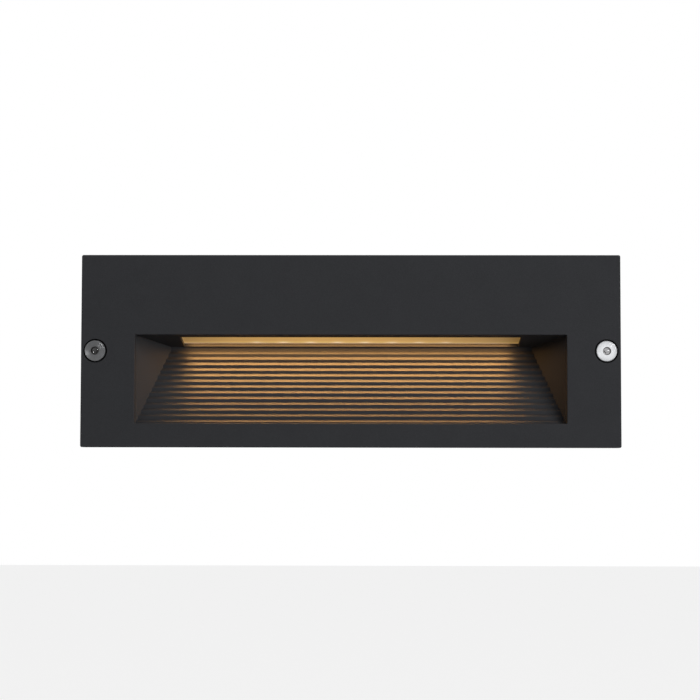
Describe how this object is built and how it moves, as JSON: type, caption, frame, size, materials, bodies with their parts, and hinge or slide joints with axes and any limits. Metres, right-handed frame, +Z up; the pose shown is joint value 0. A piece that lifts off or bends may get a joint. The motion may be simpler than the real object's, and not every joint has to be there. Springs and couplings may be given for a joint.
{
  "type": "step light",
  "caption": "Recessed brick-size LED step light: dark rectangular faceplate over a ribbed, tapered light well with a downlight strip, on a flanged back box with a cable gland.",
  "frame": {"origin": "centre of the wall-fixing hole pattern, in the rear face of the housing's flange, which lies on the wall", "axes": "+X to the right as seen from in front, +Y into the wall, +Z up"},
  "size_m": [0.245, 0.0964, 0.0874],
  "materials": {
    "powder_coat": "fine-texture charcoal powder coat on cast aluminium",
    "housing_coat": "thin dark grey coat on cast aluminium",
    "black_rubber": "black sealing rubber",
    "grey_silicone": "translucent grey silicone",
    "stainless": "turned stainless steel",
    "zinc_steel": "bright zinc-plated steel",
    "frosted_lens": "frosted polycarbonate",
    "white_plastic": "white moulded plastic",
    "board_white": "white solder mask",
    "led_phosphor": "yellow phosphor",
    "thermal_pad": "blue-grey filled silicone",
    "bare_aluminium": "extruded, clear anodised",
    "led_lead_sheath": "red and black silicone sheath",
    "supply_lead_sheath": "brown and blue sheath",
    "earth_lead_sheath": "green and yellow sheath",
    "driver_black": "black moulded case",
    "terminal_grey": "light grey moulded plastic",
    "brass": "turned brass",
    "tinned_copper": "tinned copper",
    "black_nylon": "black nylon"
  },
  "bodies": {
    "housing": {"housing": "housing_coat", "driver": "driver_black", "driver_screws": "zinc_steel", "driver_socket": "white_plastic", "socket_pins": "brass", "terminal_block": "terminal_grey", "terminal_screws": "zinc_steel", "block_screws": "zinc_steel", "supply_leads": "supply_lead_sheath", "earth_lead": "earth_lead_sheath", "earth_lug": "tinned_copper", "earth_screw": "brass", "entry_washers": "black_rubber", "entry_locknuts": "black_nylon", "gland_body": "black_nylon", "gland_seal": "grey_silicone", "gland_nut": "black_nylon", "entry_plug": "black_nylon"},
    "front": {"faceplate": "powder_coat", "plate_gasket": "black_rubber", "light_well": "powder_coat", "well_seal": "grey_silicone", "well_screws": "stainless", "lens_gasket": "grey_silicone", "lens": "frosted_lens", "light_chamber": "white_plastic", "led_board": "board_white", "led_chips": "led_phosphor", "thermal_pad": "thermal_pad", "heat_sink": "bare_aluminium", "engine_screws": "stainless", "led_leads": "led_lead_sheath", "lead_plug": "white_plastic"},
    "left_washer": {"left_sealing_washer": "black_rubber"},
    "left_screw": {"left_face_screw": "stainless"},
    "right_washer": {"right_sealing_washer": "black_rubber"},
    "right_screw": {"right_face_screw": "stainless"}
  },
  "joints": [
    {"name": "trim_pull", "type": "slide", "parent": "housing", "child": "front", "axis": [0, -1, 0], "range_m": [0, 0.06]},
    {"name": "left_screw_travel", "type": "slide", "parent": "front", "child": "left_washer", "axis": [0, -1, 0], "range_m": [0, 0.0104]},
    {"name": "left_screw_turn", "type": "hinge", "parent": "left_washer", "child": "left_screw", "pos_m": [-0.116, -0.0081, 0], "axis": [0, -1, 0], "range_deg": [0, 4690]},
    {"name": "right_screw_travel", "type": "slide", "parent": "front", "child": "right_washer", "axis": [0, -1, 0], "range_m": [0, 0.0104]},
    {"name": "right_screw_turn", "type": "hinge", "parent": "right_washer", "child": "right_screw", "pos_m": [0.116, -0.0081, 0], "axis": [0, -1, 0], "range_deg": [0, 4690]}
  ],
  "couplings": [
    {"joint": "left_screw_turn", "follows": "left_screw_travel", "rad_per_m": 7854},
    {"joint": "right_screw_turn", "follows": "right_screw_travel", "rad_per_m": 7854}
  ]
}
